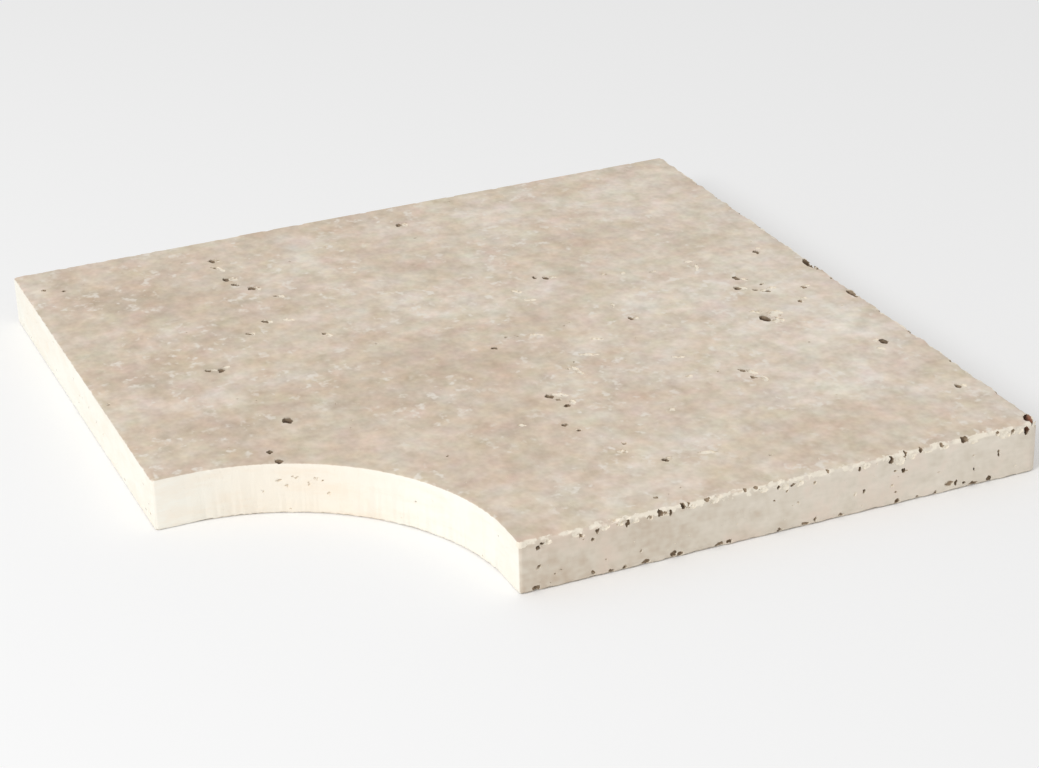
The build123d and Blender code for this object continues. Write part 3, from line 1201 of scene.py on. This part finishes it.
    def shade_hollows(self, finish: Finish, spot: Field, depth: Field, colour: Field) -> Field:
        """Paint shade into the voids, darker the deeper they go, and stain the one in the broken corner
        rusty.
        """
        corner = (self.plan.high.x - self.stain_in[0], self.plan.low.y + self.stain_in[1], self.plan.high.z)
        stain = finish.vector("DISTANCE", {0: spot, 1: corner}, "Value").rise(*self.stain_span)
        wall = finish.blend(stain, self.hollow_shade, self.rusty)
        # Painted shade: the voids darken the deeper they go.
        colour = finish.blend(depth.rise(*self.hollow_shade_span), colour, wall)
        return finish.blend(depth.rise(*self.deep_shade_span) * (1 - stain * self.stain_share), colour, self.deep)

    def drops(self, finish: Finish, spot: Field) -> Drops:
        """Return how far inside each face of the sawn slab the surface lies, in mm."""
        def across(x: Field, y: Field) -> Field:
            """Return the distance from the pool arc's middle."""
            x, y = x.most(0), y.most(0)
            return (x * x + y * y).power(0.5)
        axes = (finish.node("ShaderNodeSeparateXYZ", {}, {0: spot}, axis) for axis in "XYZ")
        return self.plan.drops(*axes, across)

    def top_colour(self, finish: Finish, spot: Field) -> Field:
        """Colour of the honed top: clouds of every size, soft patches, flecks and a change of hue."""
        middle = (0.5, 0.5, 0.5)
        sway = finish.vector("SUBTRACT", {0: finish.noise(spot, self.sway, "Color"), 1: middle})
        sway = finish.vector("SCALE", {0: sway, "Scale": self.sway_reach})
        bent = finish.vector("ADD", {0: spot, 1: sway})
        clouds = (finish.noise(spot, self.cloud) - 0.5) * self.cloud_gain
        tone = clouds + self.patched(finish, bent, self.patches) * self.patch_share
        colour = self.toned(finish, tone, self.body)
        tint = finish.noise(finish.vector("ADD", {0: spot, 1: self.tint_shift}), self.tint, "Color")
        tint = finish.vector("MULTIPLY_ADD", {0: tint, 1: self.tint_gain, 2: self.tint_base})
        colour = finish.vector("MULTIPLY", {0: colour, 1: tint})
        drawn = finish.stretch(spot, self.drawn)
        shade = finish.vector("SUBTRACT", {0: finish.noise(drawn, self.shade), 1: middle})
        shade = finish.vector("MULTIPLY_ADD", {0: shade, 1: self.shade_gain, 2: (1.0, 1.0, 1.0)})
        colour = finish.vector("MULTIPLY", {0: colour, 1: shade})
        flecks = finish.mask(drawn, self.flecks) * finish.mask(bent, self.crowd)
        return finish.blend(flecks * self.fleck_share, colour, self.fleck)

    def toned(self, finish: Finish, tone: Field, body: Colour) -> Field:
        """Go from dark at a tone of -1 to the body colour at 0 and to light at 1."""
        return finish.blend(tone, finish.blend(tone + 1.0, self.dark, body), self.light)

    def patched(self, finish: Finish, spot: Field, patches: Iterable[Patch]) -> Field:
        """Sum the tones of some patches."""
        tones = None
        for patch in patches:
            size = (patch.long, patch.wide, self.patch_height)
            own = finish.place(spot, (patch.x, patch.y, self.plan.high.z), patch.turn, size)
            tone = patch.tone * finish.vector("LENGTH", {0: own}, "Value").rise(*self.patch_edge)
            tones = tone if tones is None else tones + tone
        return tones

    def side_colour(self, finish: Finish, spot: Field) -> Field:
        """Colour of the tumbled faces: greyer, with the bedding seen end on."""
        layers = finish.noise(finish.stretch(spot, self.side_drawn), self.side_layers) - 0.5
        clouds = finish.noise(spot, self.side_cloud) - 0.5
        tone = layers * self.side_layer_gain + clouds * self.side_cloud_gain
        colour = self.toned(finish, tone + self.patched(finish, spot, self.front_patches), self.side)
        return finish.blend(finish.mask(spot, self.blush) * self.blush_share, colour, self.rosy)

    def sawn_and_highlight_colour(self, finish: Finish, spot: Field) -> Field:
        """Colour of the sawn faces: near-white cream, partly their own colour and partly painted highlight,
        with soft peach layers.
        """
        layers = finish.mask(finish.stretch(spot, self.sawn_drawn), self.sawn_layers)
        clouds = finish.mask(spot, self.sawn_cloud)
        near = finish.vector("DISTANCE", {0: spot, 1: self.peach_middle}, "Value").rise(*self.peach_span)
        share = layers * self.sawn_share + clouds * self.sawn_share + near * self.peach_share
        return finish.blend(share, self.sawn, self.peach)

    def worn(self, finish: Finish, spot: Field, side: Field, below: Field) -> Field:
        """Where the tumbled arrises are coloured cream: a band with ragged ends, and the chips."""
        hangs = finish.mask(spot, self.hangs) * self.more_hang + self.least_hang
        creeps = finish.mask(spot, self.creeps) * self.more_creep + self.least_creep
        band = (below - hangs).rise(*self.band_down) * (side - creeps).rise(*self.band_in)
        beside = below.rise(*self.chip_down) * side.rise(*self.chip_in)
        chipped = below.least(side).rise(*self.chip_bite) * beside
        return band.most(chipped) * finish.mask(spot, self.ragged) * self.worn_share

    def relief(self, finish: Finish, spot: Field) -> Field:
        """Honed waves, grain and pinholes as a bump."""
        holes = finish.cells(spot, self.pinholes).rise(*self.pinhole_span)
        height = (finish.noise(spot, self.waves) * self.wave_share
                  + finish.noise(spot, self.pores) * self.pore_share
                  + holes.most(finish.mask(spot, self.pinhole_free)) * self.pinhole_share)
        sockets = {"Strength": self.bump_strength, "Distance": self.bump_height, "Height": height}
        return finish.node("ShaderNodeBump", {}, sockets)


@dataclass(frozen=True)
class Lamp:
    """A soft square lamp that shines on the stone."""

    name: str
    place: Triple
    power: float
    size: float


@dataclass(frozen=True)
class Studio:
    """A pale floor, soft light from the pool side, and the camera."""

    camera_place: Triple = (-511.8, -1254.9, 650.5)
    azimuth: float = -21.524
    elevation: float = 25.443
    roll: float = -2.283
    focal_px: float = 2581.8
    shift_x: float = 0.0554
    shift_y: float = -0.0016
    sky: float = 0.70
    lamps: Tuple[Lamp, ...] = (Lamp("key", (-2.4, -1.1, 2.0), 41, 1.3),)
    floor_colour: Colour = linear(250, 250, 250)
    floor_size: float = 40.0
    sensor: float = 36.0
    sight: float = 100.0

    def build(self) -> None:
        """Set up floor, light, camera and view."""
        self.floor()
        self.light()
        self.camera()
        bpy.context.scene.view_settings.view_transform = "Standard"

    def floor(self) -> None:
        """Lay a pale floor under the stone."""
        Bench.clear()
        bpy.ops.mesh.primitive_plane_add(size=self.floor_size, location=(0, 0, 0))
        floor = bpy.context.object
        floor.name = "floor"
        finish = Finish("pale floor")
        shader = finish.node("ShaderNodeBsdfDiffuse", {}, {"Color": self.floor_colour})
        floor.data.materials.append(finish.close(shader))

    def light(self) -> None:
        """Light the stone evenly, a little more from the pool side."""
        world = bpy.data.worlds.new("studio")
        world.use_nodes = True
        bpy.context.scene.world = world
        sky = world.node_tree.nodes["Background"]
        sky.inputs["Color"].default_value = (1, 1, 1, 1)
        sky.inputs["Strength"].default_value = self.sky
        for lamp in self.lamps:
            light = bpy.data.lights.new(lamp.name, "AREA")
            light.energy = lamp.power
            light.size = lamp.size
            holder = bpy.data.objects.new(lamp.name, light)
            bpy.context.collection.objects.link(holder)
            place = Vector(lamp.place)
            turn = (-place).to_track_quat("-Z", "Y").to_matrix().to_4x4()
            holder.matrix_world = Matrix.Translation(place) @ turn

    def camera(self) -> None:
        """Put the camera where the stone is seen from the pool corner."""
        lens = bpy.data.cameras.new("camera")
        lens.sensor_width = self.sensor
        lens.lens = self.focal_px / PHOTO_WIDTH * lens.sensor_width
        lens.shift_x = self.shift_x
        lens.shift_y = self.shift_y
        lens.clip_end = self.sight
        turn = Matrix.Rotation(math.radians(self.azimuth), 3, "Z")
        tilt = Matrix.Rotation(math.radians(90 - self.elevation), 3, "X")
        roll = Matrix.Rotation(math.radians(self.roll), 3, "Z")
        holder = bpy.data.objects.new("camera", lens)
        bpy.context.collection.objects.link(holder)
        place = Matrix.Translation(Vector(self.camera_place) * MM)
        holder.matrix_world = place @ (turn @ tilt @ roll).to_4x4()
        bpy.context.scene.camera = holder


def main() -> None:
    """Build the stone, dress it and light it."""
    logging.basicConfig(level=logging.INFO, format="%(name)s: %(message)s")
    plan = Plan.of_frame()
    stone = CopingStone(plan).build()
    Travertine(plan).dress(stone)
    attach(stone, BODY)
    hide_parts(NODE)
    log.info("%s: %d vertices, %d faces", stone.name, len(stone.data.vertices), len(stone.data.polygons))
    Studio().build()


if __name__ == "__main__":
    main()
